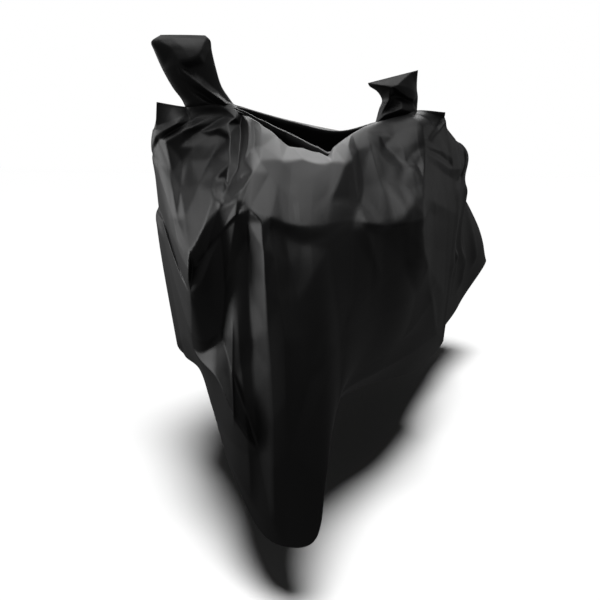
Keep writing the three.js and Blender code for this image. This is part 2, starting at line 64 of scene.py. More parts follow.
# Sections: at, then (across, forward, up) in the hump's directions on the lip, bulge, waist and hem
FRONT_SECTIONS = [
    (0.00, (-390, 5, 985), (-385, 10, 850), (-372, 13, 700), (-338, 34, 430)),
    (0.14, (-330, 50, 990), (-352, 215, 715), (-338, 205, 590), (-325, 185, 440)),
    (0.30, (-245, 50, 1015), (-303, 300, 768), (-306, 335, 590), (-322, 340, 400)),
    (0.48, (-180, 85, 1005), (-262, 378, 828), (-286, 444, 573), (-304, 470, 300)),
    (0.64, (-130, 118, 990), (-222, 421, 822), (-245, 498, 545), (-267, 543, 208)),
    (0.82, (-90, 147, 962), (-172, 445, 804), (-196, 543, 551), (-220, 600, 190)),
    (1.00, (-30, 165, 948), (-112, 443, 800), (-132, 545, 570), (-172, 634, 222)),
    (1.20, (36, 141, 972), (-30, 408, 805), (-62, 488, 585), (-149, 609, 350)),
    (1.42, (108, 90, 990), (58, 372, 790), (37, 381, 578), (-100, 508, 435)),
    (1.64, (199, 64, 1008), (165, 292, 796), (162, 262, 566), (50, 333, 416)),
    (1.84, (291, 69, 1014), (280, 117, 820), (292, 91, 580), (244, 139, 372)),
    (2.00, (390, 0, 985), (412, -19, 799), (408, -39, 552), (392, -42, 356)),
]
# The same in the cover's directions: at, then (left, back, up)
SIDE_SECTIONS = [
    (2.50, (332, 400, 975), (350, 420, 840), (330, 420, 600), (292, 450, 354)),
    (3.00, (270, 600, 930), (315, 620, 820), (310, 620, 600), (288, 660, 352)),
    (3.45, (200, 850, 895), (270, 870, 800), (305, 880, 600), (298, 900, 358)),
    (3.80, (190, 1080, 890), (260, 1100, 800), (310, 1120, 620), (315, 1130, 390)),
    (4.00, (160, 1250, 875), (240, 1280, 800), (320, 1320, 640), (360, 1360, 460)),
    (4.50, (100, 1340, 868), (170, 1400, 790), (240, 1470, 640), (280, 1520, 450)),
    (5.00, (0, 1370, 862), (0, 1450, 780), (0, 1530, 620), (0, 1580, 420)),
    (5.50, (-100, 1340, 868), (-170, 1400, 790), (-240, 1470, 640), (-280, 1520, 440)),
    (6.00, (-160, 1250, 875), (-240, 1280, 800), (-320, 1320, 640), (-350, 1360, 430)),
    (6.20, (-190, 1080, 890), (-260, 1100, 800), (-310, 1120, 620), (-325, 1130, 390)),
    (6.60, (-220, 800, 900), (-285, 800, 790), (-322, 800, 600), (-325, 800, 370)),
    (7.00, (-265, 450, 930), (-315, 450, 800), (-325, 450, 600), (-310, 450, 370)),
    (7.50, (-300, 100, 985), (-330, 100, 830), (-330, 100, 620), (-315, 100, 400)),
]
# Down on the ridge, lip, bulge, waist and hem
RING_DOWN = np.array([0, 0.15, 0.36, 0.62, 1.0])
BULGE = 2

# Openings of the mirror pockets on the hump: from, to, front depth, back depth
OPENINGS = {"right": (-315, -192, 34, 12), "left": (183, 300, 30, 9)}

# Folds: name, height outwards, flank to the left and to the right of the route, crest radius, route
FOLDS = [
    ("third fall", 7, 8, 12, 3, [(0.44, 0.56), (0.45, 0.674), (0.47, 0.86)]),
    ("fourth fall", 5, 8, 16, 4,
     [(0.48, 0.54), (0.51, 0.65), (0.53, 0.706), (0.56, 0.808), (0.58, 0.894), (0.59, 0.984)]),
    ("slant sag", -4, 26, 26, 30, [(0.76, 0.43), (0.82, 0.51), (0.92, 0.582), (1.02, 0.62)]),
    ("grip dip", -8, 30, 30, 14, [(2.12, 0.16), (2.22, 0.20), (2.40, 0.22)]),
    ("side hollow", -10, 12, 12, 6, [(2.04, 0.285), (2.20, 0.295), (2.45, 0.30)]),
    ("left drag long", 20, 30, 22, 14, [(2.50, 0.31), (2.70, 0.38), (3.10, 0.52), (3.50, 0.76)]),
    ("left drag low", 16, 22, 22, 14, [(2.20, 0.50), (2.60, 0.66), (3.00, 0.84)]),
    ("left saddle sag", -26, 40, 40, 60, [(3.10, 0.20), (3.45, 0.25), (3.75, 0.22)]),
    ("left fall a", 16, 22, 22, 22, [(3.35, 0.34), (3.40, 0.60), (3.46, 0.90)]),
    ("left fall b", 20, 26, 26, 22, [(3.75, 0.30), (3.82, 0.58), (3.88, 0.90)]),
    ("tail fall a", 18, 24, 24, 20, [(4.30, 0.25), (4.32, 0.60), (4.36, 0.94)]),
    ("tail fall b", -18, 24, 24, 24, [(4.80, 0.30), (4.84, 0.60), (4.86, 0.94)]),
    ("tail fall c", 20, 24, 24, 20, [(5.35, 0.25), (5.30, 0.60), (5.28, 0.94)]),
    ("tail fall d", -16, 24, 24, 24, [(5.80, 0.30), (5.78, 0.60), (5.80, 0.94)]),
    ("right fall a", 18, 26, 26, 22, [(6.16, 0.30), (6.14, 0.58), (6.10, 0.90)]),
    ("right saddle sag", -26, 40, 40, 60, [(6.25, 0.20), (6.55, 0.25), (6.90, 0.22)]),
    ("right fall b", 16, 22, 22, 22, [(6.52, 0.32), (6.50, 0.60), (6.46, 0.92)]),
    ("right drag long", 20, 22, 30, 14, [(7.90, 0.16), (7.50, 0.30), (7.00, 0.50), (6.70, 0.80)]),
    ("right drag low", 16, 22, 22, 14, [(7.95, 0.44), (7.60, 0.62), (7.20, 0.86)]),
]


def smooth_step(value, low, high):
    """0 below low, 1 above high, and 3t^2 - 2t^3 between them."""
    t = np.clip((value - low) / (high - low), 0, 1)
    return t * t * (3 - 2 * t)


def smooth_curve(knots, values, t, corner=0.0):
    """Cubic through the values at rising knots; each inner slope weighs the rises on both its sides, or
    where corner nears 1, turns into the straight rise of its own side. A two-way t, [row, column], takes
    each column of values at its own places."""
    knots, values, t = np.asarray(knots, float), np.asarray(values, float), np.asarray(t, float)
    steps = np.diff(knots).reshape((-1,) + (1,) * (values.ndim - 1))
    rises = np.diff(values, axis=0) / steps
    slopes = np.concatenate([
        rises[:1],
        (rises[:-1] * steps[1:] + rises[1:] * steps[:-1]) / (steps[:-1] + steps[1:]),
        rises[-1:],
    ])
    k = np.clip(np.searchsorted(knots, t, side="right") - 1, 0, len(knots) - 2)
    columns = (np.arange(t.shape[1]),) if t.ndim == 2 else ()
    low, high = (k,) + columns, (k + 1,) + columns
    shape = t.shape + (1,) * (values.ndim - t.ndim)
    h = np.diff(knots)[k].reshape(shape)
    x = (t - knots[k]).reshape(shape) / h
    corner = np.broadcast_to(corner, values.shape)
    leave = slopes[low] + corner[low] * (rises[low] - slopes[low])
    arrive = slopes[high] + corner[high] * (rises[low] - slopes[high])
    return (
        values[low] * (2 * x**3 - 3 * x**2 + 1)
        + leave * h * (x**3 - 2 * x**2 + x)
        + values[high] * (3 * x**2 - 2 * x**3)
        + arrive * h * (x**3 - x**2)
    )


def hump_point(across, forward, up):
    """A place given in the hump's own directions: turned by TURN about +Z."""
    cos, sin = math.cos(TURN), math.sin(TURN)
    return np.stack(np.broadcast_arrays(
        across * cos + forward * sin, across * sin - forward * cos, up,
    ), axis=-1).astype(float)


def hump_ridge(at, side):
    """The ridge over the hump, spread forwards (side 1) or backwards (side -1) round each pocket opening
    by its depth times the square root of 1 - share squared."""
    across = HUMP_RIDGE[-1, 0] * (at - 1)
    up = smooth_curve(HUMP_RIDGE[:, 0], HUMP_RIDGE[:, 1], across)
    spread = np.zeros_like(across)
    for start, end, front, back in OPENINGS.values():
        share = np.clip((2 * across - start - end) / (end - start), -1, 1)
        spread += (front if side > 0 else back) * np.sqrt(1 - share**2)
    return hump_point(across, side * spread, up)


def back_ridge(share):
    """The ridge from the hump's middle to the tail: a cubic through the places of its table."""
    start = hump_ridge(np.array([SEAM_FRONT]), 0)
    rest = np.column_stack([np.zeros(len(BACK_RIDGE)), BACK_RIDGE])
    points = np.concatenate([start, rest])
    knots = points[:, 1]
    return smooth_curve(knots, points, knots[0] + share * (knots[-1] - knots[0]))


def ridge_points(at):
    """Where each column starts: on the hump in front and behind, then along the back."""
    pieces = [
        (at <= 2, lambda a: hump_ridge(a, 1)),
        ((at > 2) & (at < 3), lambda a: hump_ridge(2 - (a - 2) * (2 - SEAM_FRONT), -1)),
        ((at >= 3) & (at <= 4), lambda a: back_ridge(a - 3)),
        ((at > 4) & (at < 6), lambda a: back_ridge(np.ones_like(a))),
        ((at >= 6) & (at <= 7), lambda a: back_ridge(7 - a)),
        (at > 7, lambda a: hump_ridge((ROUND - a) * SEAM_FRONT, -1)),
    ]
    points = np.empty((len(at), 3))
    for here, shape in pieces:
        if here.any():
            points[here] = shape(at[here])
    return points


# The sections once round, and a turn before and after it so that the curve closes
section_at = np.array([row[0] for row in FRONT_SECTIONS + SIDE_SECTIONS])
section_rings = np.concatenate([
    np.array([[hump_point(*place) for place in row[1:]] for row in FRONT_SECTIONS]),
    np.array([row[1:] for row in SIDE_SECTIONS], float),
])
section_at = np.concatenate([section_at - ROUND, section_at, section_at + ROUND])
section_rings = np.concatenate([section_rings] * 3)

# How sharply the cloth turns from the sloping top to the hanging front at the bulge: at, corner
SHOULDER_CORNER = np.array([
    (0.0, 0.0), (0.12, 0.7), (0.28, 0.8), (0.8, 0.8), (0.95, 0.4), (1.2, 0.3),
    (1.35, 0.7), (1.7, 0.7), (1.85, 0.0), (8, 0),
])


def sheet_grid(at, down):
    """The sheet before its folds at [column, row] places: a cubic down each column through the ridge and
    four rings, with a corner at the bulge."""
    rings = smooth_curve(section_at, section_rings, at)
    knots = np.concatenate([ridge_points(at)[:, None], rings], axis=1)
    corner = np.zeros((len(RING_DOWN), len(at), 1))
    corner[BULGE, :, 0] = np.interp(at, *SHOULDER_CORNER.T)
    return smooth_curve(RING_DOWN, knots.transpose(1, 0, 2), down.T, corner).transpose(1, 0, 2)


def grid_normals(points):
    """Unit normals of a grid: down direction crossed with across direction, from central differences."""
    across = np.gradient(points, axis=0)
    down = np.gradient(points, axis=1)
    normals = np.cross(down, across)
    return normals / np.maximum(np.linalg.norm(normals, axis=-1, keepdims=True), 1e-9)


# Creases of the front: name, then its places as at, down and how far the place stands forwards (mm). The
# stiff coated cloth spans flat between neighbouring creases.
CREASES = [
    ("corner flap", [(0.00, 0.005, 0), (0.06, 0.105, 2)]),
    ("right lever",
     [(0.00, 0.155, 10), (0.06, 0.135, 22), (0.11, 0.115, 26), (0.18, 0.062, 22), (0.30, 0.002, 14),
      (0.37, 0.000, 4)]),
    ("under the lever",
     [(0.03, 0.167, 2), (0.11, 0.137, 4), (0.18, 0.113, 0), (0.26, 0.080, -4), (0.36, 0.018, 0)]),
    ("second ridge",
     [(0.06, 0.170, 16), (0.14, 0.145, 20), (0.20, 0.137, 18), (0.27, 0.115, 12), (0.38, 0.038, 4)]),
    ("under the second",
     [(0.12, 0.183, 4), (0.16, 0.170, -2), (0.21, 0.160, -4), (0.27, 0.152, -6), (0.34, 0.125, -6)]),
    ("hook ridge",
     [(0.25, 0.168, 8), (0.30, 0.168, 14), (0.35, 0.157, 18), (0.41, 0.122, 18), (0.46, 0.058, 10)]),
    ("hook hollow", [(0.25, 0.180, 0), (0.30, 0.185, -4), (0.35, 0.198, -6), (0.34, 0.207, -4)]),
    ("tube ridge left", [(0.36, 0.187, 16), (0.36, 0.220, 22), (0.37, 0.250, 22), (0.37, 0.272, 12)]),
    ("tube channel", [(0.48, 0.075, -8), (0.44, 0.145, -22), (0.44, 0.227, -32), (0.44, 0.267, -22)]),
    ("tube ridge right", [(0.49, 0.133, 18), (0.48, 0.212, 20), (0.46, 0.252, 20), (0.46, 0.283, 10)]),
    ("arm hollow", [(0.52, 0.142, 4), (0.52, 0.215, 6)]),
    ("lip fold",
     [(0.53, 0.098, 8), (0.57, 0.115, 16), (0.56, 0.168, 22), (0.57, 0.210, 30), (0.56, 0.248, 46)]),
    ("left diagonal", [(0.30, 0.203, -6), (0.26, 0.230, -12), (0.21, 0.258, 4), (0.14, 0.297, 44)]),
    ("outer loop",
     [(0.28, 0.267, 34), (0.27, 0.275, 104), (0.28, 0.287, 126), (0.32, 0.302, 128), (0.39, 0.312, 102),
      (0.47, 0.307, 78), (0.52, 0.278, 64), (0.56, 0.248, 46)]),
    ("loop hollow", [(0.35, 0.278, -4), (0.38, 0.297, -8), (0.44, 0.298, -8), (0.47, 0.290, -4)]),
    ("small flat", [(0.19, 0.188, 4), (0.26, 0.205, -2), (0.22, 0.223, -6), (0.17, 0.212, 0)]),
    ("left stripe",
     [(0.02, 0.168, 0), (0.08, 0.237, 6), (0.08, 0.260, 16), (0.08, 0.320, 34), (0.05, 0.400, 30)]),
    ("left valley", [(0.13, 0.210, -8), (0.12, 0.255, 4), (0.10, 0.313, 40)]),
    ("low band",
     [(0.04, 0.452, 28), (0.10, 0.347, 84), (0.16, 0.335, 146), (0.22, 0.318, 132), (0.31, 0.312, 120),
      (0.44, 0.327, 86)]),
    ("left arch", [(0.44, 0.327, 86), (0.49, 0.338, 56), (0.54, 0.353, 50), (0.62, 0.372, 52)]),
    ("under the left arch",
     [(0.17, 0.362, 108), (0.25, 0.362, 80), (0.34, 0.364, 46), (0.45, 0.370, 34), (0.54, 0.382, 18)]),
    ("corner fall", [(0.16, 0.335, 146), (0.14, 0.460, 138), (0.11, 0.697, 178), (0.11, 0.785, 166)]),
    ("main fall",
     [(0.62, 0.372, 52), (0.63, 0.418, 54), (0.64, 0.485, 54), (0.65, 0.553, 54), (0.67, 0.623, 52),
      (0.69, 0.720, 48), (0.70, 0.827, 40), (0.72, 0.943, 18)]),
    ("beside the main fall",
     [(0.54, 0.413, -4), (0.56, 0.455, -6), (0.56, 0.505, -4), (0.57, 0.595, 6), (0.60, 0.708, 16),
      (0.63, 0.812, 18)]),
    ("right of the fall",
     [(0.78, 0.397, 6), (0.82, 0.438, 12), (0.86, 0.503, 20), (0.90, 0.583, 22), (0.91, 0.663, 16)]),
    ("right arch",
     [(0.62, 0.372, 50), (0.68, 0.360, 36), (0.76, 0.353, 20), (0.87, 0.362, 10), (1.07, 0.380, 4),
      (1.20, 0.382, 2)]),
    ("under the right arch", [(0.69, 0.377, 22), (0.78, 0.380, 4), (0.90, 0.397, -4), (1.06, 0.418, 0)]),
    ("node line",
     [(0.56, 0.248, 46), (0.71, 0.227, 52), (0.88, 0.190, 58), (1.08, 0.202, 52), (1.18, 0.228, 50),
      (1.26, 0.227, 46)]),
    ("node crease", [(0.56, 0.248, 46), (0.64, 0.268, 36), (0.71, 0.283, 30), (0.84, 0.310, 17)]),
    ("upright crease", [(0.88, 0.190, 58), (0.86, 0.252, 42), (0.85, 0.303, 25)]),
    ("middle slope", [(1.07, 0.303, 20)]),
    ("short crease", [(1.01, 0.300, 20), (1.06, 0.283, 24)]),
    ("left of the slit", [(0.82, 0.152, 6), (0.88, 0.190, 58)]),
    ("lobe edge", [(1.19, 0.150, 10), (1.24, 0.185, 34), (1.26, 0.227, 46)]),
    ("dimple", [(1.36, 0.203, 8), (1.35, 0.262, -6), (1.33, 0.288, -10), (1.28, 0.320, -8)]),
    ("pouch",
     [(1.23, 0.343, 2), (1.29, 0.355, 24), (1.40, 0.357, 34), (1.47, 0.352, 34), (1.53, 0.347, 46),
      (1.58, 0.335, 60), (1.64, 0.318, 66)]),
    ("pouch glow", [(1.50, 0.280, 10), (1.59, 0.288, 24), (1.70, 0.265, 42)]),
    ("pouch tuck", [(1.29, 0.372, 18), (1.41, 0.377, 14), (1.53, 0.370, 32)]),
    ("slant valley",
     [(1.56, 0.177, 4), (1.59, 0.208, -8), (1.64, 0.240, -2), (1.68, 0.255, 16), (1.75, 0.265, 32)]),
    ("slant edge",
     [(1.50, 0.197, 12), (1.54, 0.222, 12), (1.58, 0.245, 14), (1.65, 0.265, 24), (1.70, 0.265, 36)]),
    ("top edge", [(1.46, 0.148, 4), (1.59, 0.163, 10), (1.72, 0.163, 12), (1.82, 0.160, 18)]),
    ("front edge",
     [(1.82, 0.160, 18), (1.82, 0.207, 28), (1.82, 0.223, 30), (1.81, 0.240, 40), (1.79, 0.267, 54),
      (1.75, 0.300, 70), (1.70, 0.325, 80), (1.67, 0.347, 76), (1.66, 0.383, 70), (1.68, 0.438, 80),
      (1.73, 0.495, 100)]),
    ("edge fall inner", [(1.73, 0.495, 100), (1.69, 0.567, 42), (1.68, 0.752, 22)]),
    ("edge fall outer", [(1.73, 0.495, 100), (1.86, 0.635, 78), (1.97, 0.822, 42)]),
    ("front flat low",
     [(1.09, 0.530, 0), (1.22, 0.543, 0), (1.41, 0.495, 18), (1.13, 0.638, 0), (1.56, 0.457, 26)]),
    ("left flat low", [(0.37, 0.515, 16), (0.33, 0.645, 32), (0.48, 0.713, 10)]),
    ("slant upper edge", [(1.64, 0.190, 10), (1.68, 0.220, 20), (1.73, 0.240, 24), (1.77, 0.255, 38)]),
    ("near the edge", [(1.72, 0.275, 50), (1.68, 0.302, 54)]),
    ("edge fall back", [(1.73, 0.495, 100), (1.87, 0.572, 84), (2.00, 0.625, 38)]),
    ("in front of the fall", [(1.83, 0.597, 82), (1.92, 0.668, 50)]),
    ("side slot", [(1.98, 0.033, -8), (1.93, 0.128, -10), (1.86, 0.198, 6)]),
    ("behind the slot", [(2.00, 0.060, 4), (1.93, 0.153, 12), (1.87, 0.207, 18)]),
    ("side crease", [(1.82, 0.223, 30), (1.88, 0.222, 26), (1.94, 0.215, 20), (2.03, 0.217, 14)]),
    ("under the side crease", [(1.86, 0.233, 22), (1.93, 0.232, 14), (2.01, 0.237, 10)]),
    ("second side crease", [(1.81, 0.240, 40), (1.88, 0.245, 32), (1.93, 0.248, 28), (2.03, 0.253, 18)]),
    ("under the second crease", [(1.84, 0.263, 34), (1.92, 0.272, 24), (2.03, 0.280, 10)]),
    ("side drag", [(1.70, 0.325, 80), (1.86, 0.362, 70), (1.96, 0.372, 38), (2.10, 0.388, 14)]),
    ("under the side drag", [(1.77, 0.372, 68), (1.86, 0.395, 64), (1.97, 0.408, 34), (2.10, 0.433, 12)]),
    ("side low", [(1.79, 0.460, 80), (1.89, 0.487, 62), (1.98, 0.492, 30)]),
    ("under the pouch", [(1.63, 0.330, 68), (1.60, 0.362, 48), (1.60, 0.403, 48), (1.62, 0.445, 48)]),
    ("main fall right",
     [(0.66, 0.385, 42), (0.71, 0.422, 44), (0.74, 0.497, 54), (0.77, 0.567, 58), (0.78, 0.678, 52),
      (0.80, 0.782, 40), (0.80, 0.893, 20)]),
]
# Where the front lies as its sections do: round the recess, along the ridge and hem, and at both ends
STILL = [
    [(-0.07, 0.0), (0.1, 0.0), (0.2, 0.0), (0.45, 0.0), (0.8, 0.0), (1.2, 0.0), (1.6, 0.0), (2.2, 0.0)],
    [(0.53, 0.085), (0.60, 0.125), (0.70, 0.145), (0.81, 0.152), (0.91, 0.140), (1.02, 0.153), (1.08, 0.180),
     (1.13, 0.155), (1.22, 0.140), (1.34, 0.122)],
    [(-0.07, 1.0), (0.3, 1.0), (0.8, 1.0), (1.3, 1.0), (2.2, 1.0)],
    [(-0.07, 0.0), (-0.07, 0.12), (-0.07, 0.25), (-0.07, 0.5), (-0.07, 1.0)],
    [(2.2, 0.0), (2.2, 0.25), (2.2, 0.5), (2.2, 1.0)],
]
ACROSS_LENGTH = 450
DOWN_LENGTH = 900
# Radius of the ring that softens the flats: near the top, low down, and on the slope between the pockets
SOFT_TOP, SOFT_LOW, SOFT_SLOPE = 2.5, 5, 6
LOW_STARTS = (0.38, 0.55)
SLOPE_STARTS = (0.18, 0.24)
SLOPE_RIGHT = (0.62, 0.78)
SLOPE_LEFT = (1.58, 1.72)
RING_PLACES = 8


def flats(lines, across, length, soft):
    """Height at each place: the creases' places are joined into triangles that keep each crease as an edge,
    each triangle is level or tilted through its corners, and the result is the mean over a small ring of
    radius soft round each place. Lines, across and length are in one unit."""
    places, heights, edges = [], [], []
    for line in lines:
        edges += [(len(places) + i, len(places) + i + 1) for i in range(len(line) - 1)]
        places += [place[:2] for place in line]
        heights += [place[2] for place in line]
    corners, _, triangles, sources, _, _ = delaunay_2d_cdt(
        [Vector(place) for place in places], edges, [], 0, 0.5)
    corners = np.array([tuple(corner) for corner in corners])
    corner_heights = np.array([heights[source[0]] for source in sources], float)
    total = np.zeros_like(across)
    for turn in np.arange(RING_PLACES) * 2 * math.pi / RING_PLACES:
        x, y = across + soft * math.cos(turn), length + soft * math.sin(turn)
        for triangle in triangles:
            a, b, c = corners[list(triangle)]
            low, high = np.minimum(np.minimum(a, b), c), np.maximum(np.maximum(a, b), c)
            columns = np.flatnonzero((x.min(axis=1) <= high[0]) & (x.max(axis=1) >= low[0]))
            if not len(columns):
                continue
            u, v = x[columns] - a[0], y[columns] - a[1]
            turned = (b[0] - a[0]) * (c[1] - a[1]) - (c[0] - a[0]) * (b[1] - a[1])
            to_b = (u * (c[1] - a[1]) - v * (c[0] - a[0])) / turned
            to_c = (v * (b[0] - a[0]) - u * (b[1] - a[1])) / turned
            inside = (to_b >= 0) & (to_c >= 0) & (to_b + to_c < 1)
            first, second, third = corner_heights[list(triangle)]
            total[columns] += inside * (first + to_b * (second - first) + to_c * (third - first))
    return total / RING_PLACES


def crease_heights(at, down):
    """Height of the front's flats between its creases, softened by the radius that the place calls for."""
    size = np.array([ACROSS_LENGTH, DOWN_LENGTH, 1])
    lines = [np.array(route) * size for name, route in CREASES]
    lines += [np.array([(a, b, 0) for a, b in line]) * size for line in STILL]
    nearest = np.where(at > ROUND / 2, at - ROUND, at)
    middle = smooth_step(nearest, *SLOPE_RIGHT) * (1 - smooth_step(nearest, *SLOPE_LEFT))
    soft = SOFT_TOP + (SOFT_LOW - SOFT_TOP) * smooth_step(down, *LOW_STARTS)
    soft = soft + (SOFT_SLOPE - soft) * middle[:, None] * smooth_step(down, *SLOPE_STARTS)
    across = np.broadcast_to(nearest[:, None] * ACROSS_LENGTH, down.shape)
    return flats(lines, across, down * DOWN_LENGTH, soft)


def nearest_on_path(points, path):
    """For each point: distance to the path, share of the path's length, direction of the path there and
    the offset from it."""
    best = np.full(len(points), np.inf)
    run = np.zeros(len(points))
    along = np.zeros_like(points)
    offset = np.zeros_like(points)
    for i, (start, end) in enumerate(zip(path[:-1], path[1:])):
        step = end - start
        share = np.clip((points - start) @ step / (step @ step), 0, 1)
        away = points - start - share[:, None] * step
        distance = np.linalg.norm(away, axis=1)
        near = distance < best
        best[near] = distance[near]
        run[near] = (i + share[near]) / (len(path) - 1)
        along[near] = step
        offset[near] = away[near]
    return best, run, along, offset


# On the front the folds stand out forwards, along the way the hanging cloth faces, and elsewhere along the
# sheet's own normal. The way turns within a short stretch outside each end.
FRONT_WAY = np.array([0.44, -0.90, 0.0])
FRONT_RIGHT_END = (-0.1, 0.0)
FRONT_LEFT_END = (2.06, 2.18)
# Each fold fades over a share of its length, and is worked out only so far from its route
FOLD_FADE = 0.2
REACH_ACROSS = 0.1
REACH_FLANKS = 5
# Folds run out this far down from the ridge, and between one and two sizes of a pocket's opening
RIDGE_CALM = 0.03
RIM_CALM = (1, 2)


def fold_path(route):
    """The route as points on the sheet: a cubic through its places, sampled, then put on the sheet."""
    places = np.array(route, float)
    lengths = np.concatenate([[0], np.cumsum(np.hypot(*np.diff(places, axis=0).T))])
    t = np.linspace(0, lengths[-1], 5 * len(places))
    places = smooth_curve(lengths, places, t)
    return sheet_grid(np.mod(places[:, 0], ROUND), np.maximum(places[:, 1:], 0))[:, 0]


def fold_heights(at, points, normals):
    """Sum over the folds of height * exp(-(sqrt(d^2 + crest^2) - crest) / flank), d being the distance to
    the fold's route, with a flank of its own on each side, faded in and out at the ends."""
    heights = np.zeros(points.shape[:2])
    columns = np.broadcast_to(at[:, None], heights.shape)
    for name, height, left, right, crest, route in FOLDS:
        places = np.array([place[0] for place in route])
        middle = (places.min() + places.max()) / 2
        reach = REACH_FLANKS * (max(left, right) + crest / 2) / ACROSS_LENGTH
        half = np.ptp(places) / 2 + REACH_ACROSS + reach
        aside = np.abs(columns - middle)
        here = np.minimum(aside, ROUND - aside) < half
        if not here.any():
            continue
        distance, run, along, offset = nearest_on_path(points[here], fold_path(route))
        side = np.einsum("ij,ij->i", np.cross(along, offset), normals[here])
        flank = np.where(side > 0, left, right)
        ends = smooth_step(np.minimum(run, 1 - run), 0, FOLD_FADE)
        shape = np.exp(-(np.sqrt(distance**2 + crest**2) - crest) / flank)
        heights[here] += height * ends * shape
    return heights


def fold_ways(at, normals):
    """The way each place is moved by its fold: the unit normal, turned to FRONT_WAY between the front's
    ends."""
    nearest = np.where(at > ROUND / 2, at - ROUND, at)
    share = smooth_step(nearest, *FRONT_RIGHT_END) * (1 - smooth_step(nearest, *FRONT_LEFT_END))
    ways = normals + share[:, None, None] * (FRONT_WAY - normals)
    return ways / np.maximum(np.linalg.norm(ways, axis=-1, keepdims=True), 1e-9)


def calm(points, down):
    """Share of the folds that is left near the ridge line and the pocket openings."""
    share = np.broadcast_to(smooth_step(down, 0, RIDGE_CALM), points.shape[:2]).copy()
    for start, end, front, back in OPENINGS.values():
        half = (end - start) / 2
        up = smooth_curve(HUMP_RIDGE[:, 0], HUMP_RIDGE[:, 1], np.array([start + half]))[0]
        offset = points - hump_point(start + half, 0, up)
        across = offset @ hump_point(1, 0, 0) / half
        forward = offset @ hump_point(0, 1, 0) / front
        share *= smooth_step(np.sqrt(across**2 + forward**2 + (offset[..., 2] / half)**2), *RIM_CALM)
    return share


# The recess between the pockets: the cloth sinks behind the lip and tucks back under the ridge, and one
# narrow strap of cloth stays up across it. In front of the lip the cloth rolls down into the recess.
# At, depth share, upper edge, strap, lower edge, roll in front of the lower edge, drop of the roll
RECESS = np.array([
    (0.46, 0.0, 0.030, 0.030, 0.050, 0.000, 0),
    (0.53, 0.4, 0.015, 0.040, 0.085, 0.000, 0),
    (0.60, 1.0, 0.008, 0.068, 0.125, 0.010, 2),
    (0.70, 1.0, 0.008, 0.080, 0.145, 0.012, 3),
    (0.81, 1.0, 0.008, 0.074, 0.152, 0.012, 4),
    (0.91, 1.0, 0.008, 0.096, 0.140, 0.012, 3),
    (1.02, 1.0, 0.008, 0.130, 0.153, 0.012, 3),
    (1.08, 1.0, 0.008, 0.166, 0.180, 0.012, 3),
    (1.13, 1.0, 0.008, 0.175, 0.158, 0.020, 4),
    (1.22, 1.0, 0.008, 0.175, 0.145, 0.020, 4),
    (1.30, 0.8, 0.010, 0.175, 0.130, 0.020, 4),
    (1.40, 0.3, 0.020, 0.150, 0.110, 0.020, 2),
    (1.48, 0.0, 0.030, 0.120, 0.070, 0.000, 0),
])
RECESS_DEPTH = 150
RECESS_TUCK = 110
RECESS_WALL = 0.012
STRAP_HALF = 0.004
STRAP_EDGE = 0.003


def recess_edges(at):
    """The recess table's columns at each across place, straight between its rows."""
    return np.array([np.interp(at, RECESS[:, 0], column) for column in RECESS[:, 1:].T])[..., None]


def sink_recess(at, down, points):
    """Moves the cloth between the recess's edges down by its depth and back by its tuck, and rolls the
    cloth in front of the lower edge down by drop * (1 - share of the roll) squared."""
    here = (at > RECESS[0, 0]) & (at < RECESS[-1, 0])
    down = down[here]
    share, upper, strap, lower, roll, drop = recess_edges(at[here])
    floor = smooth_step(down, upper, upper + RECESS_WALL) * smooth_step(-down, -lower, RECESS_WALL - lower)
    off_strap = smooth_step(np.abs(down - strap), STRAP_HALF, STRAP_HALF + STRAP_EDGE)
    sunk = share * floor * off_strap
    rolled = drop * (1 - np.clip((down - lower) / np.maximum(roll, 0.001), 0, 1))**2 * (down > upper)
    points[here] += sunk[..., None] * hump_point(0, -RECESS_TUCK, -RECESS_DEPTH)
    points[here] += rolled[..., None] * hump_point(0, 0, -1.0)


ROWS = 224
ROW_EASE = 1.2
# Rows that gather on the recess: share of the rows at each edge, and where across they start and stop
EDGE_ROWS = np.array([0, 6, 14, 18, 22, 28, 32, 36, 46]) / (ROWS - 1)
EDGE_STEP = 1e-5
GATHER_RIGHT = (0.36, 0.5)
GATHER_LEFT = (1.44, 1.56)
TAIL_EASE = 1.1


def row_places(at):
    """Down for every [column, row]: closer rows near the ridge line, and across the recess rows that run
    along its edges and its strap."""
    share = np.linspace(0, 1, ROWS)
    plain = np.broadcast_to(share**ROW_EASE, (len(at), ROWS))
    _, upper, strap, lower, _, _ = recess_edges(at)[..., 0]
    edges = np.stack([
        np.zeros_like(at), upper, upper + RECESS_WALL,
        strap - STRAP_HALF - STRAP_EDGE, strap - STRAP_HALF, strap + STRAP_HALF,
        strap + STRAP_HALF + STRAP_EDGE, lower - RECESS_WALL, lower,
    ], axis=1)
    edges[:, 1:] = np.clip(edges[:, 1:], 0.002, lower[:, None])
    edges = np.maximum.accumulate(edges + np.arange(len(EDGE_ROWS)) * EDGE_STEP, axis=1)
    gathered = np.array([
        np.interp(share, np.append(EDGE_ROWS, 1), np.append(row, 1)) for row in edges
    ])
    tail = (share - EDGE_ROWS[-1]) / (1 - EDGE_ROWS[-1])
    rest = edges[:, -1:] + (1 - edges[:, -1:]) * np.clip(tail, 0, 1)**TAIL_EASE
    gathered = np.where(share > EDGE_ROWS[-1], rest, gathered)
    blend = smooth_step(at, *GATHER_RIGHT) * (1 - smooth_step(at, *GATHER_LEFT))
    return plain + blend[:, None] * (gathered - plain)


# The turned-in hem, from the edge: inwards, up
HEM = [(0.8, -0.4), (1.5, 0.6), (1.5, 7), (1.5, 14)]


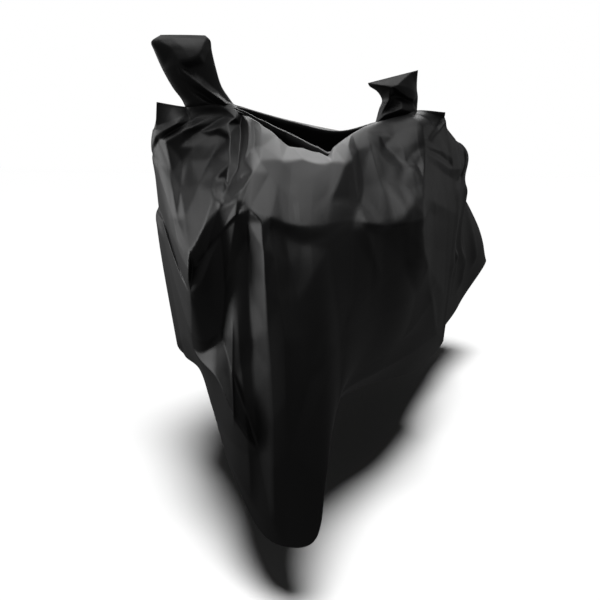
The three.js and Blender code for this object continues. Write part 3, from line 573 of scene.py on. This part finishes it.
def panel_points(at):
    """The finished cloth of a panel, [column, row], in metres: sheet, folds, recess and turned-in hem. Every
    second front column starts halfway between its neighbours, because the back has half as many."""
    down = row_places(at)
    points = sheet_grid(at, down)
    normals = grid_normals(points)
    heights = (fold_heights(at, points, normals) + crease_heights(at, down)) * calm(points, down)
    points = points + heights[..., None] * fold_ways(at, normals)
    sink_recess(at, down, points)
    between = np.flatnonzero(at <= 2)[1::2]
    points[between, 0] = (points[between - 1, 0] + points[between + 1, 0]) / 2
    normals = grid_normals(points)
    edge, inwards = points[:, -1], -normals[:, -1]
    up = points[:, -2] - edge
    up = up / np.linalg.norm(up, axis=-1, keepdims=True)
    hem = np.stack([edge + a * inwards + b * up for a, b in HEM], axis=1)
    return (np.concatenate([points, hem], axis=1) - ORIGIN) * MM


def cloth_piece(name, places, faces, uv):
    """An object of one mesh, smooth shaded, with each place's (across, along) in metres of cloth as its
    UV map."""
    mesh = bpy.data.meshes.new(name)
    mesh.from_pydata(places, [], faces)
    mesh.validate()
    loops = np.empty(len(mesh.loops), int)
    mesh.loops.foreach_get("vertex_index", loops)
    layer = mesh.uv_layers.new(name="cloth")
    layer.data.foreach_set("uv", uv[loops].ravel())
    mesh.shade_smooth()
    piece = bpy.data.objects.new(name, mesh)
    bpy.context.scene.collection.objects.link(piece)
    return piece


RIDGE_ROUNDING = 2e4


def panel_mesh(name, at):
    """The panel's grid as a piece: four-sided faces, with columns that meet on the ridge line joined and
    three-sided faces there. The UV map runs along the middle row and down each column."""
    points = panel_points(at)
    columns, rows = points.shape[:2]
    index = np.arange(columns * rows).reshape(columns, rows)
    quads = np.stack([index[:-1, :-1], index[:-1, 1:], index[1:, 1:], index[1:, :-1]], axis=-1).reshape(-1, 4)
    flat = points.reshape(-1, 3)
    ridge = index[:, 0]
    _, first, same = np.unique(
        np.round(flat[ridge] * RIDGE_ROUNDING), axis=0, return_index=True, return_inverse=True)
    joined = np.arange(len(flat))
    joined[ridge] = ridge[first[same.ravel()]]
    quads = joined[quads]
    used, quads = np.unique(quads, return_inverse=True)
    quads = quads.reshape(-1, 4)
    pinched = quads[:, 0] == quads[:, 3]
    faces = quads[~pinched].tolist() + quads[pinched, :3].tolist()
    middle = points[:, rows // 2]
    across = np.cumsum(np.linalg.norm(np.diff(middle, axis=0, prepend=middle[:1]), axis=1))
    length = np.cumsum(np.linalg.norm(np.diff(points, axis=1, prepend=points[:, :1]), axis=2), axis=1)
    uv = np.stack([np.broadcast_to(across[:, None], length.shape), length], axis=-1).reshape(-1, 2)[used]
    return cloth_piece(name, flat[used], faces, uv)


# Columns of each panel: on the front, along the side, round the tail
LEFT_COLUMNS = (231, 61, 33)
RIGHT_COLUMNS = (211, 75, 40)
FRONT_LEFT = np.linspace(SEAM_FRONT, 2, LEFT_COLUMNS[0])
FRONT_RIGHT = np.linspace(0, SEAM_FRONT, RIGHT_COLUMNS[0])
LEFT_AT = np.concatenate([
    FRONT_LEFT,
    (2 + (2 - FRONT_LEFT[::2]) / (2 - SEAM_FRONT))[::-1][1:],
    np.linspace(3, 4, LEFT_COLUMNS[1])[1:],
    np.linspace(4, SEAM_TAIL, LEFT_COLUMNS[2])[1:],
])
RIGHT_AT = np.concatenate([
    np.linspace(SEAM_TAIL, 6, RIGHT_COLUMNS[2]),
    np.linspace(6, 7, RIGHT_COLUMNS[1])[1:],
    (ROUND - FRONT_RIGHT[::2] / SEAM_FRONT)[::-1][1:-1],
    FRONT_RIGHT,
])


class Shade:
    """A shader socket whose operators add Math nodes to its tree."""

    def __init__(self, tree, socket):
        self.tree, self.socket = tree, socket

    def math(self, operation, *others):
        node = self.tree.nodes.new("ShaderNodeMath")
        node.operation = operation
        for slot, value in zip(node.inputs, (self, *others)):
            if isinstance(value, Shade):
                self.tree.links.new(value.socket, slot)
            else:
                slot.default_value = value
        return Shade(self.tree, node.outputs[0])

    def __add__(self, other):
        return self.math("ADD", other)

    def __mul__(self, other):
        return self.math("MULTIPLY", other)

    def __sub__(self, other):
        return self.math("SUBTRACT", other)

    def __rsub__(self, other):
        return (self * -1) + other

    __radd__ = __add__
    __rmul__ = __mul__


def shader_node(tree, kind, settings=None, sockets=None, output=0):
    """Adds a node, its settings first, then its sockets' values or links; gives one output as a Shade."""
    node = tree.nodes.new(kind)
    for key, value in (settings or {}).items():
        setattr(node, key, value)
    for key, value in (sockets or {}).items():
        if isinstance(value, Shade):
            tree.links.new(value.socket, node.inputs[key])
        else:
            node.inputs[key].default_value = value
    return Shade(tree, node.outputs[output]) if len(node.outputs) else node


def coated_cloth(name):
    """Satin black coated polyester: a fine plain weave under the coating, faint creasing, dust and wear."""
    material = bpy.data.materials.new(name)
    material.use_nodes = True
    tree = material.node_tree
    tree.nodes.clear()
    place = shader_node(tree, "ShaderNodeTexCoord", output="Object")
    uv = shader_node(tree, "ShaderNodeUVMap", {"uv_map": "cloth"})
    cloud = shader_node(tree, "ShaderNodeTexNoise", {}, {"Vector": place, "Scale": 5.0, "Detail": 3.0})
    crumple = shader_node(tree, "ShaderNodeTexNoise", {}, {"Vector": place, "Scale": 26.0, "Detail": 4.0})
    warp, weft = (
        shader_node(tree, "ShaderNodeTexWave", {"bands_direction": way},
                    {"Vector": uv, "Scale": 640.0, "Distortion": 0.3}, output=1)
        for way in ("X", "Y"))
    weave = warp * 0.5 + weft * 0.5
    height = crumple * 0.8 + weave * 0.06
    bump = shader_node(
        tree, "ShaderNodeBump", {}, {"Height": height, "Strength": 0.12, "Distance": 0.002})
    colour = shader_node(
        tree, "ShaderNodeMix", {"data_type": "RGBA"},
        {0: cloud, 6: (0.011, 0.011, 0.0115, 1), 7: (0.016, 0.016, 0.0165, 1)}, output=2)
    rough = cloud * 0.1 + 0.44
    surface = shader_node(tree, "ShaderNodeBsdfPrincipled", {}, {
        "Base Color": colour, "Roughness": rough, "Normal": bump,
        "IOR": 1.5, "Specular IOR Level": 0.5,
    })
    shader_node(tree, "ShaderNodeOutputMaterial", {}, {"Surface": surface})
    return material


panel_cloth = coated_cloth("satin_black_coated_cloth")
for side, at, flat_area in (("left", LEFT_AT, 1.75), ("right", RIGHT_AT, 1.85)):
    panel = panel_mesh(f"side_panel_{side}_cloth", at)
    panel.data.materials.append(panel_cloth)
    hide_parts(f"side_panel_{side}")
    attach(panel, "root")

# Mirror pockets
# A flat sleeve of the same cloth is sewn into an opening of each panel and closed along its top. The right
# one stands tall and leans outwards, the left one is short and pulled out to a point.
#
# Rings up each sleeve: its left edge across and up, its right edge across and up, depth in front and behind
POCKETS = {
    "right": [
        (-325, 1072, -208, 1078, 30, 18),
        (-346, 1100, -226, 1106, 27, 22),
        (-368, 1140, -238, 1146, 24, 22),
        (-386, 1182, -247, 1186, 20, 18),
        (-392, 1203, -250, 1210, 13, 9),
        (-370, 1219, -262, 1222, 7, 3),
    ],
    "left": [
        (193, 1056, 301, 1068, 27, 15),
        (201, 1078, 302, 1088, 23, 18),
        (188, 1099, 299, 1108, 21, 17),
        (166, 1112, 299, 1130, 17, 11),
        (160, 1121, 301, 1157, 9, 1),
    ],
}

# Creases of the pockets' fronts: name, then places as share from the left edge, share of the height, and how
# far the place stands forwards (mm)
POCKET_CREASES = {
    "right": [
        ("diagonal ridge",
         [(0.24, 0.52, 14), (0.29, 0.49, 17), (0.53, 0.34, 18), (0.73, 0.14, 18), (0.80, 0.02, 10)]),
        ("above the ridge", [(0.42, 0.49, 2), (0.65, 0.40, -5), (0.83, 0.26, -7), (0.88, 0.10, -3)]),
        ("below the ridge", [(0.24, 0.42, 8), (0.42, 0.24, -2), (0.55, 0.10, -7), (0.62, 0.02, -4)]),
        ("small ridge", [(0.24, 0.25, 6), (0.29, 0.16, 7), (0.40, 0.07, 4)]),
        ("left upright", [(0.33, 0.90, 3), (0.30, 0.66, 10), (0.24, 0.52, 14)]),
        ("middle upright", [(0.61, 0.89, 2), (0.50, 0.66, 14), (0.34, 0.55, 18)]),
        ("patch edge",
         [(0.24, 0.52, 14), (0.34, 0.55, 18), (0.53, 0.56, 20), (0.72, 0.60, 18), (0.81, 0.66, 14),
          (0.92, 0.86, 3)]),
        ("below the patch", [(0.42, 0.49, 2), (0.79, 0.54, 1), (0.96, 0.68, 1)]),
    ],
    "left": [
        ("top facet",
         [(0.04, 0.94, 3), (0.14, 0.80, 14), (0.24, 0.75, 20), (0.32, 0.68, 24), (0.46, 0.73, 22),
          (0.67, 0.89, 12), (0.85, 0.99, 2)]),
        ("outer curve", [(0.46, 0.73, 22), (0.43, 0.52, 16), (0.56, 0.42, 12), (0.78, 0.34, 5)]),
        ("under the curve", [(0.31, 0.54, 4), (0.45, 0.43, -3), (0.64, 0.33, -5), (0.81, 0.26, -3)]),
        ("narrow ridge", [(0.25, 0.66, 24), (0.14, 0.48, 16), (0.08, 0.30, 12), (0.06, 0.10, 6)]),
        ("right of the ridge", [(0.19, 0.46, -3), (0.15, 0.20, -7)]),
        ("second layer", [(0.17, 0.16, 0), (0.46, 0.25, 7), (0.80, 0.13, 4)]),
        ("base crease",
         [(0.05, 0.04, 5), (0.10, 0.09, 13), (0.46, 0.14, 15), (0.61, 0.09, 12), (0.74, 0.03, 4)]),
        ("under the base", [(0.14, 0.02, -3), (0.45, 0.03, -5), (0.61, 0.02, -5)]),
    ],
}
# The fronts' edge, where the creases run out, in the same shares
POCKET_BORDER = [(0, 0, 0), (1, 0, 0), (1, 0.5, 0), (1, 1, 0), (0.5, 1, 0), (0, 1, 0), (0, 0.5, 0), (0, 0, 0)]
POCKET_SIZE = (110, 130)
POCKET_SOFT = 1.5
POCKET_ROOT = 3
POCKET_TURNS = 160
POCKET_LEVELS = 60
# How far each ring that closes the top has come to the top's middle
CLOSING_RINGS = (0.4, 0.8)


def pocket_points(side, turns, levels):
    """Rings up the sleeve: each an ellipse between its left and right edge, deeper in front than behind,
    with a cubic from ring to ring. The creases stand out from its front."""
    start, end, front, back = OPENINGS[side]
    up = smooth_curve(HUMP_RIDGE[:, 0], HUMP_RIDGE[:, 1], np.array([start, end], float))
    root = (start, up[0] - POCKET_ROOT, end, up[1] - POCKET_ROOT, front, back)
    table = np.array([root] + POCKETS[side], float)
    knots = np.arange(len(table), dtype=float)
    level = smooth_curve(knots, table, np.linspace(0, knots[-1], levels))
    share = (1 + np.cos(turns)) / 2
    across = level[:, None, 0] + share * (level[:, None, 2] - level[:, None, 0])
    height = level[:, None, 1] + share * (level[:, None, 3] - level[:, None, 1])
    depth = np.where(np.sin(turns) < 0, level[:, None, 4], level[:, None, 5])
    points = hump_point(across, -np.sin(turns) * depth, height)
    routes = [route for name, route in POCKET_CREASES[side]] + [POCKET_BORDER]
    lines = [np.array(route) * (*POCKET_SIZE, 1) for route in routes]
    rise = np.broadcast_to(np.linspace(0, POCKET_SIZE[1], levels)[:, None], across.shape)
    heights = flats(lines, share * POCKET_SIZE[0] + 0 * rise, rise, POCKET_SOFT)
    return points + (heights * (np.sin(turns) < 0))[..., None] * FRONT_WAY


for side, flat in (("right", (0.30, 0.18)), ("left", (0.27, 0.12))):
    turns = np.linspace(0, 2 * math.pi, POCKET_TURNS + 1)[:-1]
    points = (pocket_points(side, turns, POCKET_LEVELS) - ORIGIN) * MM
    top = points[-1].mean(axis=0)
    closing = np.stack([points[-1] + (top - points[-1]) * share for share in CLOSING_RINGS])
    points = np.concatenate([points, closing])
    levels, count = points.shape[:2]
    index = np.arange(levels * count).reshape(levels, count)
    after = np.roll(index, -1, axis=1)
    quads = np.stack([index[:-1], after[:-1], after[1:], index[1:]], axis=-1).reshape(-1, 4).tolist()
    tip = levels * count
    fan = np.stack([index[-1], after[-1], np.full(count, tip)], axis=-1).tolist()
    ring = np.linspace(0, flat[0], count)
    rise = np.linspace(0, flat[1], levels)
    uv = np.stack(np.broadcast_arrays(ring[None], rise[:, None]), axis=-1).reshape(-1, 2)
    uv = np.vstack([uv, [flat[0] / 2, flat[1]]])
    places = np.vstack([points.reshape(-1, 3), top])
    pocket = cloth_piece(f"mirror_pocket_{side}_cloth", places, quads + fan, uv)
    pocket.data.materials.append(panel_cloth)
    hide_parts(f"mirror_pocket_{side}")
    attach(pocket, "root")

# Studio
# A pale floor and backdrop, soft lights above, behind and beside the cover, and a camera at its front left.
GROUND = -ORIGIN[2] * MM
FLOOR_CORNERS = [(-30, -30, GROUND), (30, -30, GROUND), (30, 30, GROUND), (-30, 30, GROUND)]
floor_mesh = bpy.data.meshes.new("studio_floor")
floor_mesh.from_pydata(FLOOR_CORNERS, [], [(0, 1, 2, 3)])
floor = bpy.data.objects.new("studio_floor", floor_mesh)
bpy.context.scene.collection.objects.link(floor)
floor_paint = bpy.data.materials.new("studio_floor_paint")
floor_paint.use_nodes = True
floor_finish = floor_paint.node_tree.nodes["Principled BSDF"].inputs
floor_finish["Base Color"].default_value = (0.25, 0.25, 0.25, 1)
floor_finish["Roughness"].default_value = 0.9
floor.data.materials.append(floor_paint)
floor.visible_diffuse = False
floor.visible_glossy = False

world = bpy.data.worlds.new("studio")
bpy.context.scene.world = world
world.use_nodes = True
tree = world.node_tree
tree.nodes.clear()
# The backdrop is white where the camera sees it, and lights the cover only faintly
BACKDROP_LIGHT = 0.08
seen = shader_node(tree, "ShaderNodeLightPath")
strength = seen * (1 - BACKDROP_LIGHT) + BACKDROP_LIGHT
backdrop = shader_node(tree, "ShaderNodeBackground", {}, {"Color": (1, 1, 1, 1), "Strength": strength})
shader_node(tree, "ShaderNodeOutputWorld", {}, {"Surface": backdrop})
bpy.context.scene.view_settings.view_transform = "Standard"

# The softboxes light all but the floor
unlit_by_softboxes = bpy.data.collections.new("unlit_by_softboxes")
unlit_by_softboxes.objects.link(floor)
unlit_by_softboxes.collection_objects[0].light_linking.link_state = "EXCLUDE"


def softbox(name, place, target, size, power):
    """A rectangular area light at a place, turned to its target."""
    lamp = bpy.data.lights.new(name, "AREA")
    lamp.shape = "RECTANGLE"
    lamp.size, lamp.size_y = size
    lamp.energy = power
    holder = bpy.data.objects.new(name, lamp)
    bpy.context.scene.collection.objects.link(holder)
    holder.light_linking.receiver_collection = unlit_by_softboxes
    holder.location = place
    holder.rotation_euler = (Vector(target) - Vector(place)).to_track_quat("-Z", "Y").to_euler()


softbox("overhead_softbox", (-0.4, -0.6, 2.4), (-0.3, -0.59, 0.0), (2.6, 2.8), 38)
softbox("rear_softbox", (-1.0, 1.8, 1.9), (-0.1, -0.9, 0.1), (3.0, 1.0), 45)
softbox("left_softbox", (-3.0, -0.8, 0.6), (0.0, -1.0, -0.25), (0.8, 2.0), 28)
softbox("right_softbox", (2.1, 2.0, 0.7), (0.3, -0.3, 0.0), (1.2, 1.6), 2)

# A broad lamp high up in front lights the floor alone: it keeps it white and throws the soft shadow
floor_lamp = bpy.data.lights.new("floor_lamp", "SUN")
floor_lamp.energy = 14
floor_lamp.angle = math.radians(20)
floor_light = bpy.data.objects.new("floor_lamp", floor_lamp)
bpy.context.scene.collection.objects.link(floor_light)
floor_light.location = (0, 0, 3)
floor_light.rotation_euler = (math.radians(27), math.radians(12), 0)
lit_by_floor_lamp = bpy.data.collections.new("lit_by_floor_lamp")
lit_by_floor_lamp.objects.link(floor)
floor_light.light_linking.receiver_collection = lit_by_floor_lamp

CAMERA_PLACE = (0.586, -2.677, 0.136)
CAMERA_YAW = math.radians(18)
CAMERA_PITCH = math.radians(11.4)
CAMERA_LENS = 44.64
camera_data = bpy.data.cameras.new("photo_camera")
camera_data.sensor_width = 36
camera_data.lens = CAMERA_LENS
camera = bpy.data.objects.new("photo_camera", camera_data)
camera.location = CAMERA_PLACE
camera.rotation_euler = (math.pi / 2 - CAMERA_PITCH, 0, CAMERA_YAW)
bpy.context.scene.collection.objects.link(camera)
bpy.context.scene.camera = camera
